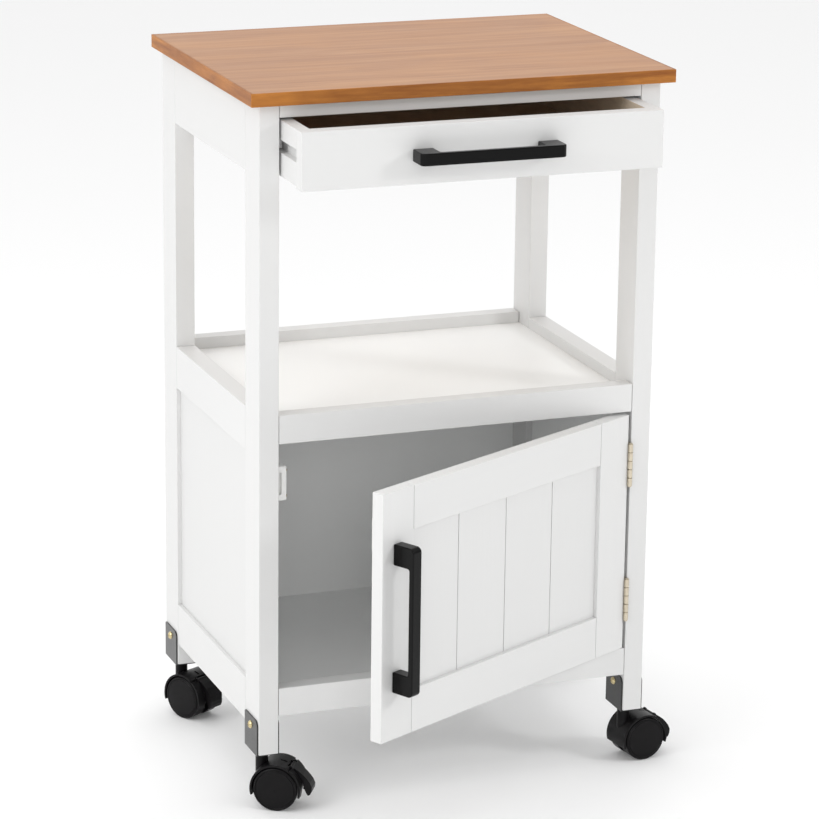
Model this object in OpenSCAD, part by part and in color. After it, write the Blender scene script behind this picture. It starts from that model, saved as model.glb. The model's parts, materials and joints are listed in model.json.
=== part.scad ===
// Kitchen island cart: worktop on a four-leg frame with a drawer, an open shelf,
// a cupboard with one hinged door, and four swivelling twin-wheel castors.
// X runs across the front, Y runs to the back, Z is up and the floor is at Z = 0.

/* [Worktop] */
// Width of the worktop
top_w = 500; // [480:5:560]
// Depth of the worktop
top_d = 380; // [370:5:420]
// Thickness of the worktop
top_t = 15; // [12:1:22]
// Height of the worktop above the floor
total_h = 836; // [826:5:886]
// How far the worktop reaches past the front legs
front_overhang = 13; // [8:1:20]

/* [Frame] */
// Width over the outer faces of the legs
frame_w = 474; // [470:1:478]
// Leg width, seen from the front
leg_w = 23; // [21:1:25]
// Leg depth, seen from the side
leg_d = 50; // [46:1:54]
// Height of the leg bottoms above the floor
leg_foot = 69; // [69:1:70]
// Thickness of the front and rear rails
rail_t = 20; // [18:1:22]
// Height of the front and rear rails
rail_h = 33; // [30:1:36]
// Height of the side rails
side_rail_h = 51; // [46:1:54]
// Height of the aprons under the worktop
apron_h = 82; // [80:1:86]
// Chamfer on the edges of the painted boards
ease = 0.8; // [0.4:0.1:1.2]

/* [Shelf and cupboard] */
// Height of the shelf rails' upper edges
shelf_rail_top = 469.5; // [461:0.5:476]
// How far the shelf lies below its rails' upper edges
shelf_drop = 13.5; // [8:0.5:16]
// Height of the bottom rails' upper edges
base_rail_top = 147.5; // [144:0.5:151]
// How far the bottom panel lies below its rail's upper edge
base_drop = 21.5; // [18:0.5:22]
// Thickness of the side panels
side_panel_t = 10; // [8:1:12]
// How far the side panels sit back from the legs' outer faces
side_recess = 5; // [3:1:7]

/* [Drawer] */
// How far the drawer stands open
drawer_out = 68; // [0:1:150]
// Height of the drawer front
drawer_h = 65; // [60:1:66]
// Thickness of the drawer front
drawer_front_t = 18; // [15:1:20]
// Thickness of the drawer sides
drawer_side_t = 15; // [13:1:16]
// Length of the drawer sides
drawer_side_l = 320; // [280:5:320]

/* [Door] */
// Opening angle of the door
door_open = 28.2; // [0:0.1:169]
// Thickness of the door frame
door_t = 15.5; // [14:0.5:17]
// Width of the door's stiles and rails
stile_w = 50; // [44:1:56]
// Number of boards in the door panel
board_count = 4; // [3:1:6]

/* [Handles] */
// Length of a handle
handle_l = 170; // [150:1:190]
// Width of a handle's bar
handle_w = 14; // [12:1:16]
// How far a handle stands out
handle_out = 29; // [26:1:32]

/* [Castors] */
// Wheel radius
wheel_r = 26; // [26:0.5:26.5]
// Distance from the stem to the axle
trail = 20; // [19:0.5:21]
// Direction of each castor's axle: front left, front right, rear left, rear right
castor_turns = [-32, 8, -62, -20];

/* [Hidden] */
$fn = 48;

// Finishes
white = "#ECECE9";
oak = "#C08C5C";
brown = "#5A4838";
black = "#262425";
steel = "#B9BBBD";
brass = "#CDB98A";

// The origin is on the floor under the middle of the box around the open cart,
// and this is where the middle of the worktop stands from it.
cart_place = [-18, 104, 0];

// Frame outline
front = -top_d / 2 + front_overhang;
rear = top_d / 2;
leg_in = frame_w / 2 - leg_w;
leg_x = frame_w / 2 - leg_w / 2;
leg_y_front = front + leg_d / 2;
leg_y_rear = rear - leg_d / 2;
under_top = total_h - top_t;

// Shelf and base levels
shelf_z = shelf_rail_top - shelf_drop;
shelf_t = 12;
base_z = base_rail_top - base_drop;
base_rail_bottom = base_rail_top - rail_h;
side_rail_bottom = base_rail_top - 1 - side_rail_h;

// Back panel, held in grooves of the rear legs and the shelf's rear rail
back_t = 3;
back_y = rear - 6.2;
groove_play = 0.2;
groove_depth = 5;

// Drawer
side_gap = 2.5;
drawer_w = 2 * (leg_in - side_gap);
top_rail_h = 15.5;
drawer_gap = 3;
drawer_top = under_top - top_rail_h - drawer_gap;
drawer_low = drawer_top - drawer_h;
drawer_side_low = drawer_low + 2.5;
runner_w = 10;
runner_h = 12.5;
runner_z = drawer_low + 30;
runner_play = 0.3;
slot_h = 14;
slot_depth = 8.5;
drawer_floor_z = drawer_side_low + 7;
drawer_floor_t = 3;
drawer_floor_in = 5;
groove_h = drawer_floor_t + groove_play;

// Door
door_side_gap = 2;
door_shift = -0.9;
door_w = 2 * (leg_in - door_side_gap);
door_top = shelf_rail_top - rail_h - 3.5;
door_low = base_rail_top + 1.2;
door_h = door_top - door_low;
panel_t = 6;
panel_set = 5;
tongue = 7;

// Hinges
hinge_l = 51;
hinge_end = 34.5;
knuckle_r = 2.9;
pin_r = 1.2;
pin_play = 0.05;
leaf_t = 0.9;
leaf_w = 14.5;
knuckles = 5;
knuckle_gap = 0.9;
pin_x = leg_in - (door_side_gap - door_shift) / 2;
pin_y = front - 2.4;
hinge_lows = [door_low + hinge_end, door_top - hinge_end - hinge_l];
leaf_screws = [10, 41];
leaf_screw_y = front + 7;
screw_r = 1.5;

// Handles
handle_bar_t = 6.5;
handle_post = 24;
handle_screw_r = 2;
handle_screw_at = handle_l / 2 - handle_post / 2;
handle_round = 5;
handle_inset = stile_w / 2 - 1;
door_handle_z = (door_low + door_top) / 2 - 2;

// Catch
catch_size = [15, 13, 40];
catch_z = 385;
strike_t = 1.2;

// Brackets
plate_t = 1.8;
plate_h = 42;
plate_d = 45;
bolt_z = leg_foot + 29;
bolt_dy = 1.5;
bolt_r = 2.45;
bolt_head_r = 4.8;
stem_r = 3.9;
stem_l = 13;

// Castors
axle_r = 3;
axle_play = 0.05;
axle_l = 31;
hood_in = wheel_r + 1.4;
hood_r = wheel_r + 3.8;
hood_w = 40;
web_w = 7.4;
boss_r = 7.3;
boss_top = leg_foot - plate_t - 0.6;
wheel_in = 4.6;
wheel_out = 20.4;
hood_skirt = -16;
hood_slot_at = 78;
lever_at = 56;
lever_r = hood_r - 0.2;
lever_w = 17.6;
lever_lift = 10;
lever_barrel_r = 2;
lever_inner = wheel_r + 1.4;
lever_shape = [
    [28.6, -10], [30.6, -17], [32.4, -20], [34.6, -17], [36.2, -10], [36.8, -3],
    [35.6, 6], [34, 15], [32.6, 26], [31.4, 38], [30.8, 48], [31, 56]
];
trunnion_r = 1.4;
castor_x = [-leg_x, leg_x, -leg_x, leg_x];
castor_y = [leg_y_front, leg_y_front, leg_y_rear, leg_y_rear];

// ---- Helpers ----

// A rectangle with chamfered corners
module eased(a, b, e) {
    polygon([
        [e, 0], [a - e, 0], [a, e], [a, b - e],
        [a - e, b], [e, b], [0, b - e], [0, e]
    ]);
}

// A board from low corner to high corner with all its edges chamfered
module board(low, high, e = ease) {
    s = high - low;
    translate(low)
        intersection() {
            linear_extrude(s.z)
                eased(s.x, s.y, e);
            rotate([90, 0, 0])
                translate([0, 0, -s.y])
                    linear_extrude(s.y)
                        eased(s.x, s.z, e);
            rotate([90, 0, 90])
                linear_extrude(s.x)
                    eased(s.y, s.z, e);
        }
}

// A plain block from low corner to high corner
module block(low, high) {
    translate(low)
        cube(high - low);
}

module placed() {
    translate(cart_place)
        children();
}

// Moves its children with the drawer, which is drawn closed
module in_drawer() {
    placed()
        translate([0, -drawer_out, 0])
            children();
}

// Turns its children with the door, which is drawn closed
module on_door() {
    placed()
        translate([pin_x, pin_y, 0])
            rotate([0, 0, door_open])
                translate([-pin_x, -pin_y, 0])
                    children();
}

// The same for the door's own pieces, which stand a little nearer the free side
module in_door() {
    on_door()
        translate([door_shift, 0, 0])
            children();
}

// Repeats its children at both hinges, with Z = 0 at a hinge's lower end
module at_hinges() {
    for (z = hinge_lows)
        translate([0, 0, z])
            children();
}

// Places its children at castor i, with Z = 0 at the floor and X along the trail
module at_castor(i) {
    placed()
        translate([castor_x[i], castor_y[i], 0])
            rotate([0, 0, castor_turns[i]])
                children();
}

// Turns a shape drawn along Z so that it lies along Y and its middle is on the axle
module on_axle() {
    translate([trail, 0, wheel_r])
        rotate([90, 0, 0])
            children();
}

// ---- Fasteners ----

// A dome-headed cross-recess screw: its head stands out along +Z, its shank goes down
module dome_screw(shank_r, shank_l, head_r, head_h) {
    dome_r = (head_r * head_r + head_h * head_h) / (2 * head_h);
    translate([0, 0, -shank_l])
        cylinder(h = shank_l + 0.01, r = shank_r);
    difference() {
        intersection() {
            cylinder(h = head_h, r = head_r);
            translate([0, 0, head_h - dome_r])
                sphere(r = dome_r);
        }
        for (a = [0, 90])
            rotate([0, 0, a])
                translate([0, 0, head_h])
                    cube([head_r, head_r / 6, head_h], center = true);
    }
}

// A countersunk cross-recess screw with its face at Z = 0 and its shank below
module flat_screw(shank_r, shank_l) {
    head_r = 2 * shank_r - 0.2;
    translate([0, 0, -shank_l])
        cylinder(h = shank_l, r = shank_r);
    difference() {
        translate([0, 0, -leaf_t])
            cylinder(h = leaf_t, r1 = shank_r, r2 = head_r);
        for (a = [0, 90])
            rotate([0, 0, a])
                cube([head_r * 1.2, 0.5, 0.8], center = true);
    }
}

// ---- Worktop ----

module worktop() {
    color(oak)
        placed()
            board([-top_w / 2, -top_d / 2, under_top], [top_w / 2, top_d / 2, total_h], 1.2);
}

// ---- Legs ----

// One leg: sx is -1 on the left and 1 on the right, y is its middle
module leg(sx, y, is_front) {
    x = sx * leg_x;
    low = [x - leg_w / 2, y - leg_d / 2, leg_foot];
    high = [x + leg_w / 2, y + leg_d / 2, under_top];
    color(white)
        placed()
            difference() {
                board(low, high);
                // Hole for the bracket's screws
                translate([x, y + bolt_dy, bolt_z])
                    rotate([0, 90, 0])
                        cylinder(h = leg_w + 1, r = bolt_r + 0.05, center = true);
                // Groove for the back panel
                if (!is_front)
                    translate([sx * leg_in, back_y + back_t / 2, (shelf_z + base_rail_bottom) / 2])
                        cube([
                            2 * groove_depth,
                            back_t + 2 * groove_play,
                            shelf_z - base_rail_bottom + 2 * groove_play
                        ], center = true);
                // Screw holes for the hinges
                if (is_front && sx > 0)
                    at_hinges()
                        for (z = leaf_screws)
                            translate([leg_in, leaf_screw_y, z])
                                rotate([0, 90, 0])
                                    cylinder(h = 22, r = screw_r + 0.05, center = true);
                // Screw holes for the magnetic catch
                if (is_front && sx < 0)
                    for (dz = [-15, 15])
                        translate([-leg_in, catch_y() + 3.2, catch_z + dz])
                            rotate([0, 90, 0])
                                cylinder(h = 22, r = screw_r + 0.05, center = true);
            }
}

// ---- Rails, aprons and runners ----

module front_top_rail() {
    color(white)
        placed()
            board([-leg_in, front, under_top - top_rail_h], [leg_in, front + rail_t, under_top]);
}

module rear_apron() {
    color(white)
        placed()
            board([-leg_in, rear - rail_t, under_top - apron_h], [leg_in, rear, under_top]);
}

// A board between the legs of one side, flush with them on both faces
module side_board(sx, low_z, high_z) {
    x = sx > 0 ? leg_in : -frame_w / 2;
    color(white)
        placed()
            board([x, front + leg_d, low_z], [x + leg_w, rear - leg_d, high_z]);
}

module side_apron(sx) {
    side_board(sx, under_top - apron_h, under_top);
}

// The drawer hangs on this strip, which is fixed to the legs and the apron
module drawer_runner(sx) {
    x = sx > 0 ? leg_in - runner_w : -leg_in;
    color(white)
        placed()
            board(
                [x, front + drawer_front_t + 2, runner_z],
                [x + runner_w, rear - 25, runner_z + runner_h],
                0.6
            );
}

module shelf_front_rail() {
    color(white)
        placed()
            board([-leg_in, front, shelf_rail_top - rail_h], [leg_in, front + rail_t, shelf_rail_top]);
}

module shelf_rear_rail() {
    low = shelf_rail_top - rail_h;
    color(white)
        placed()
            difference() {
                board([-leg_in, rear - rail_t, low], [leg_in, rear, shelf_rail_top]);
                block(
                    [-leg_in - 1, back_y - groove_play, low - 1],
                    [leg_in + 1, back_y + back_t + groove_play, low + groove_depth]
                );
            }
}

module shelf_side_rail(sx) {
    side_board(sx, shelf_rail_top - side_rail_h, shelf_rail_top);
}

module bottom_side_rail(sx) {
    side_board(sx, side_rail_bottom, base_rail_top - 1);
}

module bottom_front_rail() {
    color(white)
        placed()
            board([-leg_in, front, base_rail_bottom], [leg_in, front + rail_t, base_rail_top]);
}

// ---- Panels ----

module shelf_panel() {
    color(white)
        placed()
            board([-leg_in, front + rail_t, shelf_z - shelf_t], [leg_in, rear - rail_t, shelf_z], 0.4);
}

module bottom_panel() {
    color(white)
        placed()
            board([-leg_in, front + rail_t, base_rail_bottom], [leg_in, back_y, base_z], 0.4);
}

module side_panel(sx) {
    outer = frame_w / 2 - side_recess;
    x = sx > 0 ? outer - side_panel_t : -outer;
    color(white)
        placed()
            board(
                [x, front + leg_d, base_rail_top - 1],
                [x + side_panel_t, rear - leg_d, shelf_rail_top - side_rail_h],
                0.4
            );
}

module back_panel() {
    reach = leg_in + groove_depth - groove_play;
    high = shelf_rail_top - rail_h + groove_depth - groove_play;
    color(white)
        placed()
            block([-reach, back_y, base_rail_bottom], [reach, back_y + back_t, high]);
}

// ---- Drawer, drawn closed ----

drawer_box_y = front + drawer_front_t;

module drawer_front() {
    floor_half = drawer_w / 2 - drawer_side_t + drawer_floor_in;
    color(white)
        in_drawer()
            difference() {
                board(
                    [-drawer_w / 2, front, drawer_low],
                    [drawer_w / 2, drawer_box_y, drawer_top],
                    1.2
                );
                block(
                    [-floor_half, drawer_box_y - drawer_floor_in, drawer_floor_z],
                    [floor_half, drawer_box_y + 1, drawer_floor_z + groove_h]
                );
                for (sx = [-1, 1])
                    translate([sx * handle_screw_at, front, handle_z()])
                        rotate([-90, 0, 0])
                            cylinder(h = 3 * drawer_front_t, r = handle_screw_r + 0.1, center = true);
            }
}

module drawer_side(sx) {
    x = sx > 0 ? drawer_w / 2 - drawer_side_t : -drawer_w / 2;
    inner = sx * (drawer_w / 2 - drawer_side_t);
    outer = sx * drawer_w / 2;
    slot_z = runner_z + runner_h + runner_play - slot_h;
    color(white)
        in_drawer()
            difference() {
                board(
                    [x, drawer_box_y, drawer_side_low],
                    [x + drawer_side_t, drawer_box_y + drawer_side_l, drawer_top],
                    0.6
                );
                // Slot that runs on the fixed strip
                translate([outer, drawer_box_y + drawer_side_l / 2, slot_z + slot_h / 2])
                    cube([2 * slot_depth, drawer_side_l + 2, slot_h], center = true);
                // Groove for the drawer bottom
                translate([inner, drawer_box_y + drawer_side_l / 2, drawer_floor_z + groove_h / 2])
                    cube([2 * drawer_floor_in, drawer_side_l + 2, groove_h], center = true);
            }
}

module drawer_back() {
    inner = drawer_w / 2 - drawer_side_t;
    y = drawer_box_y + drawer_side_l;
    color(brown)
        in_drawer()
            board(
                [-inner, y - drawer_side_t, drawer_floor_z + groove_h],
                [inner, y, drawer_top],
                0.6
            );
}

module drawer_bottom() {
    reach = drawer_w / 2 - drawer_side_t + drawer_floor_in - groove_play;
    color(brown)
        in_drawer()
            block(
                [-reach, drawer_box_y - drawer_floor_in + groove_play, drawer_floor_z],
                [reach, drawer_box_y + drawer_side_l, drawer_floor_z + drawer_floor_t]
            );
}

// ---- Handles ----

function handle_z() = (drawer_low + drawer_top) / 2;

// Side outline of a handle: two posts joined by a bar, with rounded outer corners
module handle_outline() {
    half = handle_l / 2;
    difference() {
        union() {
            translate([-half, 0])
                square([handle_l, handle_out - handle_round]);
            translate([-half + handle_round, 0])
                square([handle_l - 2 * handle_round, handle_out]);
            for (sx = [-1, 1])
                translate([sx * (half - handle_round), handle_out - handle_round])
                    circle(r = handle_round);
        }
        translate([-half + handle_post, -1])
            square([handle_l - 2 * handle_post, handle_out - handle_bar_t + 1]);
    }
}

// A handle along X that stands out along -Y from Y = 0
module handle() {
    color(black)
        difference() {
            rotate([180, 0, 0])
                translate([0, 0, -handle_w / 2])
                    linear_extrude(handle_w)
                        handle_outline();
            for (sx = [-1, 1])
                translate([sx * handle_screw_at, 0, 0])
                    rotate([90, 0, 0])
                        cylinder(h = 24, r = handle_screw_r + 0.05, center = true);
        }
}

module drawer_handle() {
    in_drawer()
        translate([0, front, handle_z()])
            handle();
}

// The door's handle stands upright on the middle of the free stile
module at_door_handle() {
    in_door()
        translate([-door_w / 2 + handle_inset, front, door_handle_z])
            rotate([0, 90, 0])
                children();
}

module door_handle() {
    at_door_handle()
        handle();
}

// Two screws from behind a board of thickness t into the handle's posts
module handle_screws(t) {
    color(steel)
        for (sx = [-1, 1])
            translate([sx * handle_screw_at, t, 0])
                rotate([-90, 0, 0])
                    dome_screw(handle_screw_r, t + 10, 4, 2.2);
}

module drawer_handle_screws() {
    in_drawer()
        translate([0, front, handle_z()])
            handle_screws(drawer_front_t);
}

// ---- Door, drawn closed ----

panel_y = front + panel_set;

// The groove that holds the panel, as a box of the panel's reach
module door_groove() {
    block(
        [-door_w / 2 + stile_w - tongue, panel_y - groove_play / 2, door_low + stile_w - tongue],
        [door_w / 2 - stile_w + tongue, panel_y + panel_t + groove_play / 2, door_top - stile_w + tongue]
    );
}

module door_stile(sx) {
    x = sx > 0 ? door_w / 2 - stile_w : -door_w / 2;
    color(white)
        in_door()
            difference() {
                board([x, front, door_low], [x + stile_w, front + door_t, door_top]);
                // The groove runs the stile's whole height and takes the rails' tongues too
                translate([0, 0, -stile_w])
                    door_groove();
                translate([0, 0, stile_w])
                    door_groove();
                if (sx < 0)
                    translate([-door_w / 2 + handle_inset, front, door_handle_z])
                        for (s = [-1, 1])
                            translate([0, 0, s * handle_screw_at])
                                rotate([90, 0, 0])
                                    cylinder(h = 3 * door_t, r = handle_screw_r + 0.1, center = true);
                if (sx < 0)
                    translate([strike_x(), front + door_t, catch_z])
                        rotate([90, 0, 0])
                            cylinder(h = 18, r = screw_r + 0.05, center = true);
                if (sx > 0)
                    at_hinges()
                        for (z = leaf_screws)
                            translate([door_w / 2, leaf_screw_y, z])
                                rotate([0, 90, 0])
                                    cylinder(h = 26, r = screw_r + 0.05, center = true);
            }
}

// A cross rail of the door, from low_z up, with a tongue at each end
module door_rail(low_z) {
    half = door_w / 2 - stile_w;
    color(white)
        in_door() {
            difference() {
                board([-half, front, low_z], [half, front + door_t, low_z + stile_w]);
                door_groove();
            }
            for (sx = [-1, 1])
                translate([sx * half, 0, 0])
                    block(
                        [-tongue + 0.4, panel_y, low_z + (low_z > door_low ? tongue : 1)],
                        [tongue - 0.4, panel_y + panel_t, low_z + stile_w - (low_z > door_low ? 1 : tongue)]
                    );
        }
}

// The panel: one sheet with a V-groove between each two boards
module door_boards() {
    half = door_w / 2 - stile_w;
    reach = half + tongue - 0.6;
    low = door_low + stile_w - tongue + 0.6;
    high = door_top - stile_w + tongue - 0.6;
    pitch = 2 * half / board_count;
    vee = 2.2;
    color(white)
        in_door()
            difference() {
                block([-reach, panel_y, low], [reach, panel_y + panel_t, high]);
                for (i = [1 : board_count - 1])
                    translate([-half + i * pitch, panel_y, low - 1])
                        linear_extrude(high - low + 2)
                            polygon([[-vee, -0.01], [vee, -0.01], [0, vee]]);
            }
}

module door_screws() {
    color(steel) {
        at_door_handle()
            handle_screws(door_t);
        in_door() {
            at_hinges()
                for (z = leaf_screws)
                    translate([door_w / 2 + leaf_t, leaf_screw_y, z])
                        rotate([0, 90, 0])
                            flat_screw(screw_r, 12);
            translate([strike_x(), front + door_t + strike_t, catch_z])
                rotate([-90, 0, 0])
                    flat_screw(screw_r, 9);
        }
    }
}

// ---- Hinges ----

knuckle_l = hinge_l / knuckles;

// Every second knuckle barrel from number first on, with the leaf from the barrel to the board
module leaf(first, x_low, x_high) {
    difference() {
        union() {
            block([x_low, pin_y, 0], [x_high, pin_y + leaf_w, hinge_l]);
            for (i = [first : 2 : knuckles - 1])
                translate([pin_x, pin_y, i * knuckle_l + knuckle_gap / 2])
                    cylinder(h = knuckle_l - knuckle_gap, r = knuckle_r);
        }
        // Room for the other leaf's barrels
        for (i = [1 - first : 2 : knuckles - 1])
            translate([pin_x, pin_y, i * knuckle_l - knuckle_gap / 2])
                cylinder(h = knuckle_l + knuckle_gap, r = knuckle_r + 0.35);
        translate([pin_x, pin_y, -1])
            cylinder(h = hinge_l + 2, r = pin_r + pin_play);
        // Countersunk screw holes
        for (z = leaf_screws)
            translate([x_low > pin_x ? x_low : x_high, leaf_screw_y, z])
                rotate([0, x_low > pin_x ? 90 : -90, 0])
                    cylinder(h = leaf_t + 0.02, r1 = 2 * screw_r - 0.1, r2 = screw_r + 0.1);
    }
}

module hinge_frame_leaves() {
    color(brass)
        placed()
            at_hinges()
                leaf(0, leg_in - leaf_t, leg_in);
}

module hinge_door_leaves() {
    color(brass)
        on_door()
            at_hinges()
                leaf(1, door_w / 2 + door_shift, door_w / 2 + door_shift + leaf_t);
}

module hinge_pins() {
    color(brass)
        placed()
            at_hinges()
                translate([pin_x, pin_y, -0.8]) {
                    cylinder(h = hinge_l + 1.6, r = pin_r);
                    cylinder(h = 0.8, r = 2.2);
                    translate([0, 0, hinge_l + 0.8])
                        cylinder(h = 0.8, r = 2.2);
                }
}

// ---- Catch ----

function catch_y() = front + door_t + strike_t + 0.4;
function strike_x() = -leg_in + 8;

module magnetic_catch() {
    low = [-leg_in, catch_y(), catch_z - catch_size.z / 2];
    color("#F4F4F2")
        placed()
            difference() {
                board(low, low + catch_size, 1);
                // Slot beside the magnet
                translate([-leg_in + catch_size.x / 2, low.y, catch_z])
                    cube([3, 8, catch_size.z - 14], center = true);
                for (dz = [-15, 15])
                    translate([-leg_in, catch_y() + 3.2, catch_z + dz])
                        rotate([0, 90, 0])
                            cylinder(h = 40, r = screw_r + 0.05, center = true);
            }
}

module strike_plate() {
    x = strike_x();
    y = front + door_t;
    color(steel)
        in_door()
            difference() {
                block([x - 5, y, catch_z - 17], [x + 5, y + strike_t, catch_z + 17]);
                translate([x, y + strike_t, catch_z])
                    rotate([90, 0, 0])
                        cylinder(h = strike_t + 0.02, r1 = 2 * screw_r - 0.1, r2 = screw_r + 0.1);
            }
}

// ---- Brackets and the frame's screws ----

// One side plate of a bracket: the corner towards the front is the rounder one
module bracket_side() {
    round_front = 7;
    round_rear = 2;
    difference() {
        union() {
            translate([-plate_d / 2, 0])
                square([plate_d, plate_h - round_front]);
            translate([-plate_d / 2 + round_front, 0])
                square([plate_d - round_front - round_rear, plate_h]);
            translate([0, plate_h - round_front])
                square([plate_d / 2, round_front - round_rear]);
            translate([-plate_d / 2 + round_front, plate_h - round_front])
                circle(r = round_front);
            translate([plate_d / 2 - round_rear, plate_h - round_rear])
                circle(r = round_rear);
        }
        translate([bolt_dy, bolt_z - leg_foot + plate_t])
            circle(r = bolt_r + 0.15);
    }
}

// A U-shaped plate under a leg with the castor's stem riveted in it, from Z = leg_foot
module bracket() {
    for (sx = [-1, 1])
        translate([sx * (leg_w + plate_t) / 2, 0, leg_foot - plate_t])
            rotate([90, 0, 90])
                linear_extrude(plate_t, center = true)
                    bracket_side();
    block(
        [-leg_w / 2 - 0.01, -plate_d / 2, leg_foot - plate_t],
        [leg_w / 2 + 0.01, plate_d / 2, leg_foot]
    );
    translate([0, 0, leg_foot - plate_t - stem_l])
        cylinder(h = stem_l + 0.01, r = stem_r);
}

module castor_brackets() {
    color(black)
        placed()
            for (i = [0 : 3])
                translate([castor_x[i], castor_y[i], 0])
                    bracket();
}

module frame_screws() {
    color(brass)
        placed() {
            for (i = [0 : 3])
                for (sx = [-1, 1])
                    translate([castor_x[i] + sx * (leg_w / 2 + plate_t), castor_y[i] + bolt_dy, bolt_z])
                        rotate([0, sx * 90, 0])
                            dome_screw(bolt_r, 11, bolt_head_r, 3.2);
            at_hinges()
                for (z = leaf_screws)
                    translate([leg_in - leaf_t, leaf_screw_y, z])
                        rotate([0, -90, 0])
                            flat_screw(screw_r, 10);
            for (dz = [-15, 15])
                translate([-leg_in + catch_size.x, catch_y() + 3.2, catch_z + dz])
                    rotate([0, 90, 0])
                        dome_screw(screw_r, catch_size.x + 10, 2.6, 1.4);
        }
}

// ---- Castors ----

// A sector of a disc from angle a to angle b, out to radius r
module sector(r, a, b) {
    steps = ceil((b - a) / 15);
    polygon(concat(
        [[0, 0]],
        [for (i = [0 : steps]) r * [cos(a + i * (b - a) / steps), sin(a + i * (b - a) / steps)]]
    ));
}

// Part of a ring between two radii, from angle a to angle b
module ring_part(r_in, r_out, a, b) {
    intersection() {
        difference() {
            circle(r = r_out);
            if (r_in > 0)
                circle(r = r_in);
        }
        sector(2 * r_out, a, b);
    }
}

module castor_housing(i) {
    lever_place = lever_r * [cos(lever_at), sin(lever_at)];
    cheek = (lever_w + 5) / 2;
    color(black)
        at_castor(i)
            difference() {
                union() {
                    // Hood over both wheels
                    on_axle()
                        linear_extrude(hood_w, center = true)
                            ring_part(hood_in, hood_r, hood_skirt, 180 - hood_skirt);
                    // Web between the wheels
                    on_axle()
                        linear_extrude(web_w, center = true)
                            union() {
                                ring_part(16, hood_r - 0.9, lever_at + 12, 180 - hood_skirt);
                                circle(r = 20);
                            }
                    // Boss around the stem, cut off above the wheels
                    difference() {
                        translate([0, 0, wheel_r + 8])
                            cylinder(h = boss_top - wheel_r - 8, r = boss_r);
                        on_axle()
                            for (sy = [-1, 1])
                                translate([0, 0, sy * (web_w + hood_w - 1) / 2])
                                    cylinder(h = hood_w, r = hood_in + 0.6, center = true);
                    }
                    // Lugs for the brake lever's trunnions
                    on_axle()
                        translate(lever_place)
                            cylinder(h = 2 * cheek, r = 2.8, center = true);
                }
                // Slot in the top of the hood
                on_axle()
                    rotate([0, 0, hood_slot_at])
                        translate([hood_r, 0, 0])
                            cube([3.2, 8, 2.8], center = true);
                // Gap in the hood for the brake lever
                on_axle()
                    linear_extrude(lever_w + 0.8, center = true)
                        ring_part(hood_in - 4, hood_r + 12, hood_skirt - 20, lever_at + 9);
                // Trunnion bore
                on_axle()
                    translate(lever_place)
                        cylinder(h = hood_w, r = trunnion_r + 0.05, center = true);
                // Axle bore
                on_axle()
                    cylinder(h = hood_w, r = axle_r + axle_play, center = true);
                // Stem bore, with room under the stem's end
                translate([0, 0, boss_top - stem_l])
                    cylinder(h = stem_l + 1, r = stem_r + 0.05);
            }
}

// Half section of a wheel: radius across, distance from the castor's middle up
module wheel_section() {
    polygon([
        [axle_r + 0.02, wheel_in], [8, wheel_in], [8, wheel_in + 2], [22.5, wheel_in + 2],
        [22.5, wheel_in], [wheel_r - 0.8, wheel_in], [wheel_r, wheel_in + 0.8],
        [wheel_r, wheel_out - 2.2], [wheel_r - 0.5, wheel_out - 1],
        [wheel_r - 1.4, wheel_out - 0.3], [wheel_r - 2.6, wheel_out],
        [wheel_r - 3.2, wheel_out - 0.5], [wheel_r - 3.8, wheel_out],
        [14, wheel_out + 0.4], [0, wheel_out + 0.6],
        [0, axle_l / 2 + 0.3], [axle_r + 0.02, axle_l / 2 + 0.3]
    ]);
}

module castor_wheels(i) {
    color(black)
        at_castor(i)
            on_axle()
                for (flip = [0, 1])
                    mirror([0, 0, flip])
                        rotate_extrude($fn = 64)
                            wheel_section();
}

module castor_axle(i) {
    color(steel)
        at_castor(i)
            on_axle()
                cylinder(h = axle_l, r = axle_r, center = true);
}

// Side outline of the brake lever: its inner edge follows the wheel, its outer edge runs to a hooked toe
module lever_outline() {
    inner = [for (a = [lever_at : -12 : -4]) [lever_inner, a]];
    polygon([for (p = concat(inner, lever_shape)) p[0] * [cos(p[1]), sin(p[1])]]);
}

// The brake lever, drawn pressed down and then lifted about its trunnions
module castor_brake(i) {
    lever_place = lever_r * [cos(lever_at), sin(lever_at)];
    color(black)
        at_castor(i)
            on_axle()
                translate(lever_place)
                    rotate([0, 0, lever_lift])
                        translate(-lever_place) {
                            linear_extrude(lever_w, center = true)
                                lever_outline();
                            translate(lever_place) {
                                cylinder(h = lever_w - 1, r = lever_barrel_r, center = true);
                                cylinder(h = lever_w + 4.6, r = trunnion_r, center = true);
                            }
                        }
}

// ---- Nodes ----

worktop();
leg(-1, leg_y_front, true);  // leg_front_left
leg(1, leg_y_front, true);  // leg_front_right
leg(-1, leg_y_rear, false);  // leg_rear_left
leg(1, leg_y_rear, false);  // leg_rear_right
front_top_rail();
rear_apron();
side_apron(-1);  // side_apron_left
side_apron(1);  // side_apron_right
drawer_runner(-1);  // drawer_runner_left
drawer_runner(1);  // drawer_runner_right
shelf_panel();
shelf_front_rail();
shelf_rear_rail();
shelf_side_rail(-1);  // shelf_side_rail_left
shelf_side_rail(1);  // shelf_side_rail_right
side_panel(-1);  // side_panel_left
side_panel(1);  // side_panel_right
bottom_side_rail(-1);  // bottom_side_rail_left
bottom_side_rail(1);  // bottom_side_rail_right
bottom_front_rail();
bottom_panel();
back_panel();
drawer_front();
drawer_side(-1);  // drawer_side_left
drawer_side(1);  // drawer_side_right
drawer_back();
drawer_bottom();
drawer_handle();
drawer_handle_screws();
door_stile(-1);  // door_handle_stile
door_stile(1);  // door_hinge_stile
door_rail(door_top - stile_w);  // door_top_rail
door_rail(door_low);  // door_bottom_rail
door_boards();
door_handle();
door_screws();
hinge_frame_leaves();
hinge_door_leaves();
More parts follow.
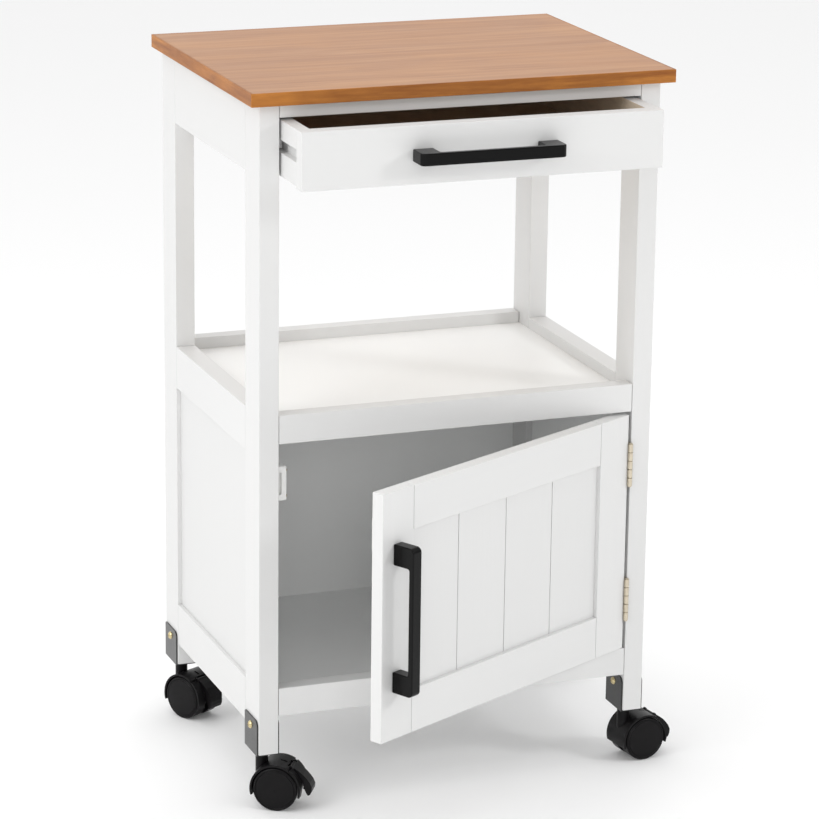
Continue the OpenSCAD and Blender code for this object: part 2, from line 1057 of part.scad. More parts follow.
hinge_pins();
frame_screws();
magnetic_catch();
strike_plate();
castor_brackets();
castor_housing(0);  // castor_front_left_housing
castor_wheels(0);  // castor_front_left_wheels
castor_axle(0);  // castor_front_left_axle
castor_brake(0);  // castor_front_left_brake
castor_housing(1);  // castor_front_right_housing
castor_wheels(1);  // castor_front_right_wheels
castor_axle(1);  // castor_front_right_axle
castor_brake(1);  // castor_front_right_brake
castor_housing(2);  // castor_rear_left_housing
castor_wheels(2);  // castor_rear_left_wheels
castor_axle(2);  // castor_rear_left_axle
castor_brake(2);  // castor_rear_left_brake
castor_housing(3);  // castor_rear_right_housing
castor_wheels(3);  // castor_rear_right_wheels
castor_axle(3);  // castor_rear_right_axle
castor_brake(3);  // castor_rear_right_brake
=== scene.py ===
"""Looks of a small kitchen island cart: painted boards, veneered worktop, black handles and castors."""

import json
import math

import bmesh
import bpy
from bpy.props import FloatProperty, FloatVectorProperty, PointerProperty
from mathutils import Matrix, Vector


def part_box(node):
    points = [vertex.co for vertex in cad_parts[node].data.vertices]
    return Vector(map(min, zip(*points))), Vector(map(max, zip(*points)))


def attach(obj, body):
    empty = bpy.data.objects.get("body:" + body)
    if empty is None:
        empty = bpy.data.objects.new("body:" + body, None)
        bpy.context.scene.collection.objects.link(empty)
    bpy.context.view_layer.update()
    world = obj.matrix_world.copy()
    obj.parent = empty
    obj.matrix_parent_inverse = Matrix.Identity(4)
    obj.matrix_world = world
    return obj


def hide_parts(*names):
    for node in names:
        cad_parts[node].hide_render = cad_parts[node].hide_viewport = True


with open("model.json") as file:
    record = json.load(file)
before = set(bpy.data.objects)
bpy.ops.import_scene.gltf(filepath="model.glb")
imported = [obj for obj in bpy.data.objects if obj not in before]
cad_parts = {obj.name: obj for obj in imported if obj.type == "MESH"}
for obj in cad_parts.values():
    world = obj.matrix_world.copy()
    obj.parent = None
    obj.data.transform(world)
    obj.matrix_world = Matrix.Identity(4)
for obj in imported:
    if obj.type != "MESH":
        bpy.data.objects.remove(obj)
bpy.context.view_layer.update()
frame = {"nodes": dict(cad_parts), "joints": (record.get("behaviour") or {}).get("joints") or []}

bl_info = {
    "name": "Kitchen Island Cart",
    "version": (1, 0, 0),
    "blender": (4, 5, 0),
    "location": "3D View > Sidebar > Cart",
    "description": "Builds the visible pieces of a kitchen island cart around its packed frame",
    "category": "Object",
}

MM = 0.001
X, Y, Z = 0, 1, 2
DOOR_REST = math.radians(28.2)
ROUNDED_ABOVE = math.radians(30.0)
CASTORS = ("front_left", "front_right", "rear_left", "rear_right")
CASTOR_FINISHES = {"housing": "plastic", "wheels": "wheel", "axle": "zinc", "brake": "plastic"}


# ---- Sizes and colours a user may change ----


def millimetres(name, description, default):
    return FloatProperty(
        name=name, description=description, default=default * MM, min=0.0, unit="LENGTH", subtype="DISTANCE"
    )


def colour(name, description, default):
    return FloatVectorProperty(
        name=name, description=description, default=default, min=0.0, max=1.0, size=3, subtype="COLOR"
    )


def strength(name, description, default):
    return FloatProperty(name=name, description=description, default=default, min=0.0)


class CartSizes(bpy.types.PropertyGroup):
    board_round: millimetres("Board rounding", "Radius along the edges of the painted boards", 0.6)
    panel_round: millimetres("Panel rounding", "Radius along the edges of the thin panels", 0.5)
    handle_round: millimetres("Handle rounding", "Radius along the edges of the handles", 1.4)
    handle_corner: millimetres("Handle corner", "Radius of the handles' outer corners", 6.0)
    band_thick: millimetres("Edge band", "Thickness of the band round the worktop", 1.6)
    seam: millimetres("Seam", "Gap at each end of a rail, where it meets a post", 0.6)
    groove_width: millimetres("Board groove", "Half width of the grooves between the door's boards", 0.55)


class CartColours(bpy.types.PropertyGroup):
    veneer: colour("Veneer", "Main colour of the worktop", (0.50, 0.250, 0.108))
    veneer_dark: colour("Veneer streaks", "Darker streaks of the worktop", (0.37, 0.160, 0.062))
    band: colour("Edge band", "Main colour of the worktop's edge band", (0.62, 0.245, 0.040))
    band_dark: colour("Edge band streaks", "Darker streaks of the edge band", (0.27, 0.082, 0.010))
    paint: colour("Paint", "White paint of the boards", (0.71, 0.71, 0.705))
    # Brighter white of the inside faces: the white melamine face of the shelf, bottom and back, set far
    # above the paint as painted light for the inside of the cart; on the side panels' inner faces it is
    # painted light only.
    melamine: colour("Melamine", "White face of the shelf, bottom and back", (0.94, 0.945, 0.94))
    drawer_lining: colour("Drawer lining", "Brown board inside the drawer", (0.68, 0.58, 0.46))
    black_coat: colour("Black coat", "Coat of the handles", (0.0025, 0.0025, 0.0025))
    plastic: colour("Castor plastic", "Plastic of the castors", (0.006, 0.0055, 0.006))


class CartStage(bpy.types.PropertyGroup):
    floor_colour: colour("Floor", "Colour of the studio floor", (0.95, 0.95, 0.95))
    world_strength: strength("Surroundings", "Strength of the even light", 0.66)
    key_power: strength("Key light", "Power in watts of the light on the left", 40.0)
    fill_power: strength("Fill light", "Power in watts of the light in front", 20.0)
    side_power: strength("Side light", "Power in watts of the light on the right", 30.0)
    top_power: strength("Top light", "Power in watts of the light overhead", 8.0)


# ---- Shader building ----


class Num:
    """A value in a material that is worked with like a number."""

    def __init__(self, finish, socket):
        self.finish = finish
        self.socket = socket

    def _maths(self, operation, a, b):
        return self.finish.add("ShaderNodeMath", {"operation": operation}, {0: a, 1: b})

    def __add__(self, other):
        return self._maths("ADD", self, other)

    def __sub__(self, other):
        return self._maths("SUBTRACT", self, other)

    def __rsub__(self, other):
        return self._maths("SUBTRACT", other, self)

    def __mul__(self, other):
        return self._maths("MULTIPLY", self, other)

    __radd__ = __add__
    __rmul__ = __mul__


class Finish:
    """One material and the nodes that make it."""

    def __init__(self, name="", tree=None):
        if tree:
            self.tree = tree
            return
        self.material = bpy.data.materials.new(name)
        self.material.use_nodes = True
        self.tree = self.material.node_tree
        self.tree.nodes.clear()

    def add(self, kind, settings=None, inputs=None, output=0):
        """Adds a node: its settings first, then the values or links of its sockets."""
        made = self.tree.nodes.new(kind)
        for key, value in (settings or {}).items():
            if key == "stops":
                self._stops(made.color_ramp, value)
            else:
                setattr(made, key, value)
        for key, value in (inputs or {}).items():
            socket = self._socket(made.inputs, key)
            if isinstance(value, Num):
                self.tree.links.new(value.socket, socket)
            else:
                socket.default_value = value
        return Num(self, self._socket(made.outputs, output)) if made.outputs else made

    @staticmethod
    def _stops(ramp, stops):
        while len(ramp.elements) < len(stops):
            ramp.elements.new(0.5)
        for element, (place, shade) in zip(ramp.elements, stops):
            element.position = place
            element.color = (*shade, 1.0) if isinstance(shade, tuple) else (shade, shade, shade, 1.0)

    @staticmethod
    def _socket(sockets, key):
        if isinstance(key, int):
            return sockets[key]
        for socket in sockets:
            if socket.identifier == key:
                return socket
        return sockets[key]

    def place(self, grain, scale):
        """Coordinates on the piece: along the grain first if it has a grain, stretched by scale."""
        if grain:
            start = self.add("ShaderNodeAttribute", {"attribute_name": "grain"}, None, "Vector")
        else:
            start = self.add("ShaderNodeTexCoord", None, None, "Object")
        return self.add("ShaderNodeMapping", None, {"Vector": start, "Scale": scale})

    def noise(self, place, scale=1.0, detail=3.0, rough=0.5, distortion=0.0):
        values = {"Vector": place, "Scale": scale, "Detail": detail}
        values.update({"Roughness": rough, "Distortion": distortion})
        return self.add("ShaderNodeTexNoise", {"noise_dimensions": "3D"}, values)

    def ramp(self, value, *stops):
        return self.add("ShaderNodeValToRGB", {"stops": stops}, {"Fac": value})

    def mix(self, factor, a, b):
        a, b = ((*c, 1.0) if isinstance(c, tuple) else c for c in (a, b))
        values = {"Factor_Float": factor, "A_Color": a, "B_Color": b}
        return self.add("ShaderNodeMix", {"data_type": "RGBA"}, values, "Result_Color")

    def bump(self, height, distance, strength):
        values = {"Height": height, "Distance": distance, "Strength": strength}
        return self.add("ShaderNodeBump", None, values)

    def surface(self, **values):
        """Ends the material with its shader."""
        named = {}
        for key, value in values.items():
            named[key.replace("_", " ").title().replace("Ior", "IOR")] = value
        shader = self.add("ShaderNodeBsdfPrincipled", None, named)
        self.add("ShaderNodeOutputMaterial", None, {"Surface": shader})
        return self.material


def rgb(prop):
    return tuple(round(c, 5) for c in prop)


def scaled(shade, factor):
    return tuple(min(1.0, c * factor) for c in shade)


def paint_finish(name, shade, roughness=0.36):
    """Sprayed paint on wood: a faint long grain, a fine spray texture and uneven gloss."""
    f = Finish(name)
    fibre = f.noise(f.place(True, (14.0, 240.0, 240.0)), 1.0, 4.0, 0.6)
    spray = f.noise(f.place(True, (420.0, 420.0, 420.0)), 1.0, 2.0, 0.5)
    cloud = f.noise(f.place(True, (3.0, 5.0, 5.0)), 1.0, 2.0)
    tint = f.mix(cloud, scaled(shade, 0.975), scaled(shade, 1.02))
    height = fibre * 0.7 + spray * 0.3
    return f.surface(
        base_color=f.mix(fibre * 0.25, tint, scaled(shade, 0.94)),
        roughness=cloud * 0.10 + spray * 0.05 + (roughness - 0.07),
        normal=f.bump(height, 0.00018, 0.55),
    )


def veneer_finish(name, light, dark, edge=False):
    """Lacquered veneer with long streaks, fine pores and a soft figure."""
    f = Finish(name)
    streak = f.noise(f.place(True, (3.0, 70.0, 70.0)), 1.0, 5.0, 0.62, 0.9)
    fine = f.noise(f.place(True, (45.0, 330.0, 330.0) if edge else (16.0, 520.0, 520.0)), 1.0, 3.0, 0.65)
    figure = f.noise(f.place(True, (5.0, 9.0, 9.0)), 1.0, 3.0, 0.5, 1.4)
    streak = f.ramp(streak, (0.36, 0.0), (0.66, 1.0))
    base = f.mix(streak, dark, light)
    base = f.mix(fine * (0.95 if edge else 0.50), base, scaled(dark, 0.80))
    base = f.mix(f.ramp(figure, (0.45, 0.0), (0.75, 0.35)), base, scaled(light, 1.10))
    return f.surface(
        base_color=base,
        roughness=fine * 0.14 + figure * 0.10 + 0.30,
        normal=f.bump(fine * 0.7 + streak * 0.3, 0.00022, 0.5),
        specular_ior_level=0.32,
    )


def board_finish(name, shade):
    """Hardboard with a printed, slightly fibrous face."""
    f = Finish(name)
    fibre = f.noise(f.place(True, (60.0, 320.0, 320.0)), 1.0, 4.0, 0.65)
    cloud = f.noise(f.place(True, (8.0, 8.0, 8.0)), 1.0, 3.0)
    base = f.mix(fibre, scaled(shade, 0.72), scaled(shade, 1.25))
    return f.surface(
        base_color=f.mix(cloud * 0.4, base, scaled(shade, 0.85)),
        roughness=fibre * 0.2 + 0.42,
        normal=f.bump(fibre, 0.0002, 0.6),
    )


def coat_finish(name, shade, roughness, grit=1500.0, depth=0.00008, gloss=0.5):
    """Powder coat or moulded plastic: a very fine grit and soft gloss patches."""
    f = Finish(name)
    fine = f.noise(f.place(False, (grit, grit, grit)), 1.0, 2.0)
    patch = f.noise(f.place(False, (45.0, 45.0, 45.0)), 1.0, 3.0)
    base = f.mix(patch, scaled(shade, 0.8), scaled(shade, 1.3))
    return f.surface(
        base_color=base,
        roughness=patch * 0.12 + fine * 0.06 + (roughness - 0.09),
        normal=f.bump(fine, depth, 0.6),
        specular_ior_level=gloss,
    )


def metal_finish(name, shade, roughness, tarnish=0.12):
    """Plated metal with fine drawing lines and faint tarnish."""
    f = Finish(name)
    lines = f.noise(f.place(False, (900.0, 900.0, 60.0)), 1.0, 3.0)
    patch = f.noise(f.place(False, (120.0, 120.0, 120.0)), 1.0, 3.0)
    base = f.mix(patch * tarnish * 2.0, shade, scaled(shade, 0.6))
    return f.surface(
        base_color=base,
        metallic=1.0,
        roughness=lines * 0.10 + patch * 0.12 + (roughness - 0.11),
        normal=f.bump(lines, 0.00003, 0.5),
    )


FINISHES = {}


def make_finishes(colours):
    paint = rgb(colours.paint)
    plastic = rgb(colours.plastic)
    FINISHES.update(
        paint=paint_finish("white_paint", paint),
        panel=paint_finish("white_panel", scaled(paint, 0.985), roughness=0.42),
        # Inside faces: a white well above the paint, painted light for the inside on top of the melamine
        # face.
        melamine=paint_finish("white_melamine", rgb(colours.melamine), roughness=0.40),
        veneer=veneer_finish("worktop_veneer", rgb(colours.veneer), rgb(colours.veneer_dark)),
        band=veneer_finish("worktop_band", rgb(colours.band), rgb(colours.band_dark), edge=True),
        lining=board_finish("drawer_lining", rgb(colours.drawer_lining)),
        coat=coat_finish("black_coat", rgb(colours.black_coat), 0.20, gloss=0.14),
        plate=coat_finish("bracket_coat", (0.012, 0.012, 0.012), 0.24, 1100.0),
        plastic=coat_finish("castor_plastic", plastic, 0.36, 1300.0, 0.0001, 0.14),
        wheel=coat_finish("wheel_plastic", scaled(plastic, 0.9), 0.32, 1700.0, 0.00006, 0.14),
        brass=metal_finish("hinge_brass", (0.63, 0.56, 0.44), 0.30),
        bolt=metal_finish("yellow_zinc", (0.72, 0.60, 0.34), 0.25, 0.2),
        zinc=metal_finish("bright_zinc", (0.62, 0.62, 0.62), 0.30),
        catch=coat_finish("catch_plastic", (0.80, 0.80, 0.77), 0.40, 800.0),
    )


# ---- Mesh building ----


class Spin:
    """A frame turned about an upright axis, in which a turned piece lies square."""

    def __init__(self, point=(0.0, 0.0, 0.0), angle=0.0):
        there = Matrix.Translation(Vector(point))
        self.out = there @ Matrix.Rotation(angle, 4, "Z") @ there.inverted()
        self.back = self.out.inverted()

    def box(self, node):
        """Lowest and highest corners of a node, measured in this frame."""
        points = [self.back @ v.co for v in frame["nodes"][node].data.vertices]
        lowest = Vector(min(p[i] for p in points) for i in range(3))
        highest = Vector(max(p[i] for p in points) for i in range(3))
        return lowest, highest


SQUARE = Spin()


def joint(name):
    return next(j for j in frame["joints"] if j["name"] == name)


def door_spin():
    return Spin(joint("door_hinge")["pos_m"], DOOR_REST)


def piece(name, bm, body, finishes, nodes=(), spin=SQUARE, along=X, radius=0.0, segments=3):
    """Makes an object from a mesh that is drawn in the spin's frame, and hangs it on its body."""
    bmesh.ops.recalc_face_normals(bm, faces=bm.faces)
    mesh = bpy.data.meshes.new(name)
    bm.to_mesh(mesh)
    bm.free()
    grain = mesh.attributes.new("grain", "FLOAT_VECTOR", "POINT")
    shift = sum(ord(letter) * (i + 1) for i, letter in enumerate(name)) % 97 * 0.13
    for value, vertex in zip(grain.data, mesh.vertices):
        co = vertex.co
        value.vector = (co[along] + shift, co[(along + 1) % 3] + shift, co[(along + 2) % 3])
    mesh.transform(spin.out)
    for face in mesh.polygons:
        face.use_smooth = True
    for finish in finishes:
        mesh.materials.append(FINISHES[finish])
    made = bpy.data.objects.new(name, mesh)
    bpy.context.scene.collection.objects.link(made)
    if radius:
        bevel = made.modifiers.new("rounding", "BEVEL")
        bevel.width = radius
        bevel.segments = segments
        bevel.limit_method = "ANGLE"
        bevel.angle_limit = ROUNDED_ABOVE
        bevel.harden_normals = True
        bevel.use_clamp_overlap = True
    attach(made, body)
    if nodes:
        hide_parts(*nodes)
    return made


def add_box(bm, low, high):
    """A closed box."""
    made = bmesh.ops.create_cube(bm, size=1.0)["verts"]
    low, high = Vector(low), Vector(high)
    for v in made:
        v.co = Vector((low[i] + (v.co[i] + 0.5) * (high[i] - low[i])) for i in range(3))


def add_prism(bm, outline, axis, low, high):
    """A closed prism: an outline in the two axes after the given one, drawn out from low to high."""
    a, b = (axis + 1) % 3, (axis + 2) % 3
    ends = []
    for level in (low, high):
        ring = []
        for u, v in outline:
            co = [0.0, 0.0, 0.0]
            co[axis], co[a], co[b] = level, u, v
            ring.append(bm.verts.new(co))
        ends.append(ring)
    bm.faces.new(ends[0][::-1])
    bm.faces.new(ends[1])
    count = len(outline)
    for i in range(count):
        j = (i + 1) % count
        bm.faces.new((ends[0][i], ends[0][j], ends[1][j], ends[1][i]))


def arc(centre, radius, start, end, steps):
    """Points of an arc, in degrees."""
    turns = [math.radians(start + (end - start) * i / steps) for i in range(steps + 1)]
    return [(centre[0] + radius * math.cos(t), centre[1] + radius * math.sin(t)) for t in turns]


def board(name, node, body, along, radius, finishes=("paint",), spin=SQUARE, ends=None, gap=0.0):
    """A board with rounded edges in the place of a CAD node, with a gap at both ends."""
    low, high = spin.box(node)
    if ends:
        low[along], high[along] = ends
    low[along] += gap
    high[along] -= gap
    bm = bmesh.new()
    add_box(bm, low, high)
    return piece(name, bm, body, finishes, (node,), spin, along, radius)


def line_faces(made, direction, finish):
    """Gives the faces that look one way their own finish."""
    made.data.materials.append(FINISHES[finish])
    for face in made.data.polygons:
        if face.normal.dot(Vector(direction)) > 0.9:
            face.material_index = len(made.data.materials) - 1


# ---- Pieces ----

FRAME_BOARDS = {
    "leg_front_left": Z,
    "leg_front_right": Z,
    "leg_rear_left": Z,
    "leg_rear_right": Z,
    "front_top_rail": X,
    "rear_apron": X,
    "side_apron_left": Y,
    "side_apron_right": Y,
    "shelf_front_rail": X,
    "shelf_rear_rail": X,
    "shelf_side_rail_left": Y,
    "shelf_side_rail_right": Y,
    "bottom_side_rail_left": Y,
    "bottom_side_rail_right": Y,
    "bottom_front_rail": X,
}
FRAME_PANELS = {
    "shelf_panel": X,
    "bottom_panel": X,
    "back_panel": Z,
    "side_panel_left": Z,
    "side_panel_right": Z,
}
# Faces that take the brighter white: the melamine faces of the shelf, bottom and back, and the side panels'
# inner faces, where it is painted light for the inside.
MELAMINE_AND_PAINTED_LIGHT_FACES = {
    "shelf_panel": (0, 0, 1),
    "bottom_panel": (0, 0, 1),
    "back_panel": (0, -1, 0),
    "side_panel_left": (1, 0, 0),
    "side_panel_right": (-1, 0, 0),
}
CARRIED_OVER = {
    "drawer_handle_screws": "zinc",
    "door_screws": "zinc",
    "hinge_frame_leaves": "brass",
    "hinge_door_leaves": "brass",
    "hinge_pins": "brass",
    "frame_screws": "bolt",
    "magnetic_catch": "catch",
    "strike_plate": "zinc",
    "drawer_runner_left": "panel",
    "drawer_runner_right": "panel",
}


class CartOperator(bpy.types.Operator):
    """A step in building the cart."""

    bl_options = {"REGISTER", "UNDO"}

    @property
    def sizes(self):
        return bpy.context.scene.cart_sizes


class CART_OT_worktop(CartOperator):
    """Makes the veneered worktop and the band round its edge"""

    bl_idname = "cart.worktop"
    bl_label = "Worktop"

    joint_gap = 0.4 * MM
    slab_round = 0.25 * MM
    band_round = 0.5 * MM

    def execute(self, context):
        low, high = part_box("worktop")
        low, high = Vector(low), Vector(high)
        band = self.sizes.band_thick
        inset = Vector((band + self.joint_gap, band + self.joint_gap, 0))
        bm = bmesh.new()
        add_box(bm, low + inset, high - inset)
        rounding = self.slab_round
        piece("worktop_slab", bm, "frame", ("veneer",), ("worktop",), radius=rounding)
        for side, along, a, b in (
            ("front", X, low, Vector((high.x, low.y + band, high.z))),
            ("rear", X, Vector((low.x, high.y - band, low.z)), high),
            ("left", Y, low + Vector((0, band, 0)), Vector((low.x + band, high.y - band, high.z))),
            ("right", Y, Vector((high.x - band, low.y + band, low.z)), high - Vector((0, band, 0))),
        ):
            bm = bmesh.new()
            add_box(bm, a, b)
            name = f"worktop_band_{side}"
            piece(name, bm, "frame", ("band",), along=along, radius=self.band_round)
        return {"FINISHED"}


class CART_OT_frame(CartOperator):
    """Makes the legs, rails, aprons and panels of the frame"""

    bl_idname = "cart.frame"
    bl_label = "Frame"

    def execute(self, context):
        for node, along in FRAME_BOARDS.items():
            gap = 0.0 if along == Z else self.sizes.seam
            board(f"{node}_board", node, "frame", along, self.sizes.board_round, gap=gap)
        rounding = self.sizes.panel_round
        for node, along in FRAME_PANELS.items():
            made = board(f"{node}_sheet", node, "frame", along, rounding, ("panel",))
            # The inside faces get the brighter white as painted light for the inside.
            line_faces(made, MELAMINE_AND_PAINTED_LIGHT_FACES[node], "melamine")
        return {"FINISHED"}


class CART_OT_drawer(CartOperator):
    """Makes the drawer's front, grooved sides, back and bottom"""

    bl_idname = "cart.drawer"
    bl_label = "Drawer"

    side_round = 0.7 * MM
    bottom_round = 0.3 * MM
    slot_depth = 8.5 * MM
    slot_height = 14.0 * MM
    runner_play = 0.3 * MM

    def execute(self, context):
        rounding = self.sizes.board_round
        board("drawer_front_board", "drawer_front", "drawer", X, rounding)
        for side, sign in (("left", -1), ("right", 1)):
            self.side(side, sign)
        for part, rounding in (("back", self.sizes.panel_round), ("bottom", self.bottom_round)):
            node = f"drawer_{part}"
            board(f"{node}_board", node, "drawer", X, rounding, ("lining",))
        return {"FINISHED"}

    def side(self, side, sign):
        node = f"drawer_side_{side}"
        low, high = SQUARE.box(node)
        runner = SQUARE.box(f"drawer_runner_{side}")
        outer, inner = (high.x, low.x) if sign > 0 else (low.x, high.x)
        slot_top = runner[1].z + self.runner_play
        slot_low = slot_top - self.slot_height
        floor = outer - sign * self.slot_depth
        outline = [
            (low.z, inner), (low.z, outer), (slot_low, outer), (slot_low, floor),
            (slot_top, floor), (slot_top, outer), (high.z, outer), (high.z, inner),
        ]
        bm = bmesh.new()
        add_prism(bm, outline, Y, low.y, high.y)
        name = f"{node}_board"
        rounding = self.side_round
        made = piece(name, bm, "drawer", ("paint",), (node,), along=Y, radius=rounding)
        line_faces(made, (-sign, 0, 0), "lining")


class CART_OT_door(CartOperator):
    """Makes the door's stiles, rails and grooved boards"""

    bl_idname = "cart.door"
    bl_label = "Door"

    groove_depth = 2.6 * MM
    groove_ease = 0.35 * MM

    def execute(self, context):
        spin = door_spin()
        rounding = self.sizes.board_round
        for node in ("door_handle_stile", "door_hinge_stile"):
            board(f"{node}_board", node, "door", Z, rounding, spin=spin)
        left = spin.box("door_handle_stile")[1].x
        right = spin.box("door_hinge_stile")[0].x
        for node in ("door_top_rail", "door_bottom_rail"):
            name = f"{node}_board"
            gap = self.sizes.seam
            board(name, node, "door", X, rounding, spin=spin, ends=(left, right), gap=gap)
        self.boards(spin, left, right)
        return {"FINISHED"}

    def boards(self, spin, left, right, count=4):
        """One sheet with an eased groove between each two boards."""
        low, high = spin.box("door_boards")
        half, depth, ease = self.sizes.groove_width, self.groove_depth, self.groove_ease
        pitch = (right - left) / count
        outline = [(low.x, high.y), (low.x, low.y)]
        for i in range(1, count):
            x = left + i * pitch
            outline += [(x - half - ease, low.y), (x - half, low.y + ease), (x - half, low.y + depth)]
            outline += [(x + half, low.y + depth), (x + half, low.y + ease), (x + half + ease, low.y)]
        outline += [(high.x, low.y), (high.x, high.y)]
        bm = bmesh.new()
        add_prism(bm, outline, Z, low.z, high.z)
        piece(
            "door_boards_sheet", bm, "door", ("panel",), ("door_boards",),
            spin, Z, 0.1 * MM, segments=1,
        )


class CART_OT_handles(CartOperator):
    """Makes the two black bar handles"""

    bl_idname = "cart.handles"
    bl_label = "Handles"

    post = 24.0 * MM
    bar = 6.5 * MM
    inner_corner = 2.5 * MM

    def outline(self, length, out):
        """Side outline of a handle: along its length, and how far it stands out."""
        r, s = self.sizes.handle_corner, self.inner_corner
        half, inner, under = length / 2, length / 2 - self.post, out - self.bar
        points = [(-half, 0.0)]
        points += arc((-half + r, out - r), r, 180, 90, 8)
        points += arc((half - r, out - r), r, 90, 0, 8)
        points += [(half, 0.0), (inner, 0.0)]
        points += arc((inner - s, under - s), s, 0, 90, 4)
        points += arc((-inner + s, under - s), s, 90, 180, 4)
        points += [(-inner, 0.0)]
        return points

    def execute(self, context):
        low, high = SQUARE.box("drawer_handle")
        centre = (low + high) / 2
        shape = [(centre.x + a, high.y - b) for a, b in self.outline(high.x - low.x, high.y - low.y)]
        bm = bmesh.new()
        add_prism(bm, shape, Z, low.z, high.z)
        rounding = self.sizes.handle_round
        nodes = ("drawer_handle",)
        piece("drawer_handle_bar", bm, "drawer", ("coat",), nodes, radius=rounding)
        spin = door_spin()
        low, high = spin.box("door_handle")
        centre = (low + high) / 2
        shape = [(high.y - b, centre.z + a) for a, b in self.outline(high.z - low.z, high.y - low.y)]
        bm = bmesh.new()
        add_prism(bm, shape, X, low.x, high.x)
        piece("door_handle_bar", bm, "door", ("coat",), ("door_handle",), spin, Z, rounding)
        return {"FINISHED"}


class CART_OT_fittings(CartOperator):
    """Gives the hinges, screws, catch, runners and brackets their finishes"""

    bl_idname = "cart.fittings"
    bl_label = "Fittings"

    def execute(self, context):
        for node, finish in CARRIED_OVER.items():
            refinish(node, finish)
        refinish("castor_brackets", "plate")
        return {"FINISHED"}


def refinish(node, finish):
    """Changes the material of a CAD node that is shown as it is."""
    for slot in frame["nodes"][node].material_slots:
        slot.material = FINISHES[finish]


class CART_OT_castors(CartOperator):
    """Gives the castors their finishes"""

    bl_idname = "cart.castors"
    bl_label = "Castors"

    def execute(self, context):
        for name in CASTORS:
            for part, finish in CASTOR_FINISHES.items():
                refinish(f"castor_{name}_{part}", finish)
        return {"FINISHED"}


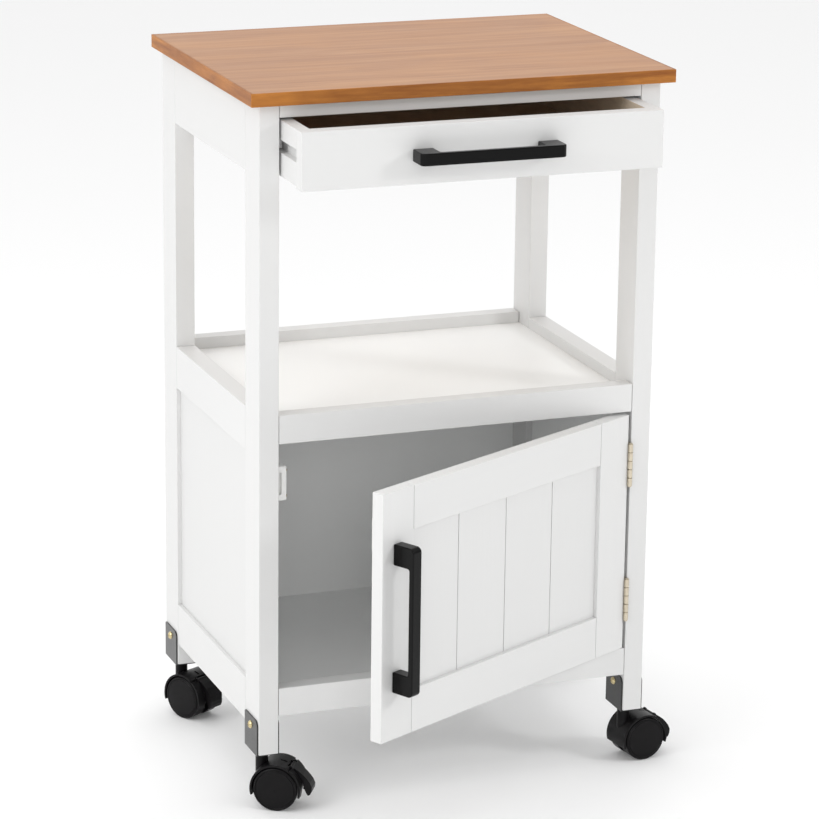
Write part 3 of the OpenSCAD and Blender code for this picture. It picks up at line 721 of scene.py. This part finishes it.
class CART_OT_stage(CartOperator):
    """Makes the floor, the lights and the camera"""

    bl_idname = "cart.stage"
    bl_label = "Stage"

    camera_from_top = Vector((-1414.97, -3794.68, 742.34)) * MM
    camera_azimuth = math.radians(20.54)
    camera_elevation = math.radians(16.10)
    camera_roll = math.radians(0.71)
    camera_lens = 157.35
    camera_sensor = 36.0
    brighter_to = (0.15, 0.60, 0.60)
    light_aim = Vector((0.0, 0.1, 0.45))
    light_places = {
        "key": ((-3.2, -0.9, 2.4), 2.2),
        "fill": ((-1.1, -3.4, 1.3), 1.2),
        "side": ((2.7, -2.2, 2.1), 0.6),
        "top": ((0.2, 0.4, 3.4), 2.4),
    }
    floor_half = 30.0

    def execute(self, context):
        stage = context.scene.cart_stage
        self.floor(stage)
        self.lights(stage)
        self.camera(context.scene)
        context.scene.view_settings.view_transform = "Standard"
        return {"FINISHED"}

    def floor(self, stage):
        bm = bmesh.new()
        bmesh.ops.create_grid(bm, x_segments=8, y_segments=8, size=self.floor_half)
        mesh = bpy.data.meshes.new("floor")
        bm.to_mesh(mesh)
        bm.free()
        f = Finish("studio_floor")
        cloud = f.noise(f.place(False, (0.8, 0.8, 0.8)), 1.0, 2.0)
        shade = rgb(stage.floor_colour)
        mesh.materials.append(f.surface(base_color=f.mix(cloud, scaled(shade, 0.99), shade), roughness=0.9))
        floor = bpy.data.objects.new("floor", mesh)
        bpy.context.scene.collection.objects.link(floor)

    def lights(self, stage):
        world = bpy.data.worlds.new("studio")
        bpy.context.scene.world = world
        world.use_nodes = True
        world.node_tree.nodes.clear()
        f = Finish(tree=world.node_tree)
        way = f.add("ShaderNodeTexCoord", None, None, "Generated")
        to_right = f.add("ShaderNodeSeparateXYZ", None, {"Vector": way}, "X")
        to_rear = f.add("ShaderNodeSeparateXYZ", None, {"Vector": way}, "Y")
        to_top = f.add("ShaderNodeSeparateXYZ", None, {"Vector": way}, "Z")
        left, rear, above = self.brighter_to
        even = 1.0 - to_right * left + to_rear * rear + to_top * above
        shine = {"Color": (1.0, 1.0, 1.0, 1.0), "Strength": even * stage.world_strength}
        glow = f.add("ShaderNodeBackground", None, shine)
        f.add("ShaderNodeOutputWorld", None, {"Surface": glow})
        for name, (place, size) in self.light_places.items():
            light = bpy.data.lights.new(name, "AREA")
            light.size = size
            light.energy = getattr(stage, f"{name}_power")
            lamp = bpy.data.objects.new(name, light)
            lamp.location = place
            lamp.rotation_euler = (self.light_aim - Vector(place)).to_track_quat("-Z", "Y").to_euler()
            bpy.context.scene.collection.objects.link(lamp)

    def camera(self, scene):
        low, high = (Vector(corner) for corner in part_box("worktop"))
        top = Vector(((low.x + high.x) / 2, (low.y + high.y) / 2, high.z))
        a, e, roll = self.camera_azimuth, self.camera_elevation, self.camera_roll
        ahead = Vector((math.sin(a) * math.cos(e), math.cos(a) * math.cos(e), -math.sin(e)))
        right = Vector((math.cos(a), -math.sin(a), 0.0))
        up = right.cross(ahead)
        turned = right * math.cos(roll) + up * math.sin(roll)
        raised = up * math.cos(roll) - right * math.sin(roll)
        data = bpy.data.cameras.new("camera")
        data.lens = self.camera_lens
        data.sensor_width = self.camera_sensor
        data.clip_end = 60.0
        camera = bpy.data.objects.new("camera", data)
        matrix = Matrix((turned, raised, -ahead)).transposed().to_4x4()
        matrix.translation = top + self.camera_from_top
        camera.matrix_world = matrix
        scene.collection.objects.link(camera)
        scene.camera = camera


STEPS = (
    CART_OT_worktop,
    CART_OT_frame,
    CART_OT_drawer,
    CART_OT_door,
    CART_OT_handles,
    CART_OT_fittings,
    CART_OT_castors,
    CART_OT_stage,
)


class CART_PT_panel(bpy.types.Panel):
    """Lists the steps and the sizes and colours that they use"""

    bl_idname = "CART_PT_panel"
    bl_label = "Kitchen Island Cart"
    bl_space_type = "VIEW_3D"
    bl_region_type = "UI"
    bl_category = "Cart"

    def draw(self, context):
        for step in STEPS:
            self.layout.operator(step.bl_idname)
        for group in (context.scene.cart_sizes, context.scene.cart_colours, context.scene.cart_stage):
            column = self.layout.column()
            for name in group.__annotations__:
                column.prop(group, name)


GROUPS = {"cart_sizes": CartSizes, "cart_colours": CartColours, "cart_stage": CartStage}
CLASSES = (*GROUPS.values(), *STEPS, CART_PT_panel)


def register():
    for made in CLASSES:
        bpy.utils.register_class(made)
    for name, group in GROUPS.items():
        setattr(bpy.types.Scene, name, PointerProperty(type=group))


def unregister():
    for name in GROUPS:
        delattr(bpy.types.Scene, name)
    for made in reversed(CLASSES):
        bpy.utils.unregister_class(made)


def main():
    register()
    make_finishes(bpy.context.scene.cart_colours)
    for step in STEPS:
        group, name = step.bl_idname.split(".")
        getattr(getattr(bpy.ops, group), name)()
    bpy.context.view_layer.update()


if __name__ == "__main__":
    main()
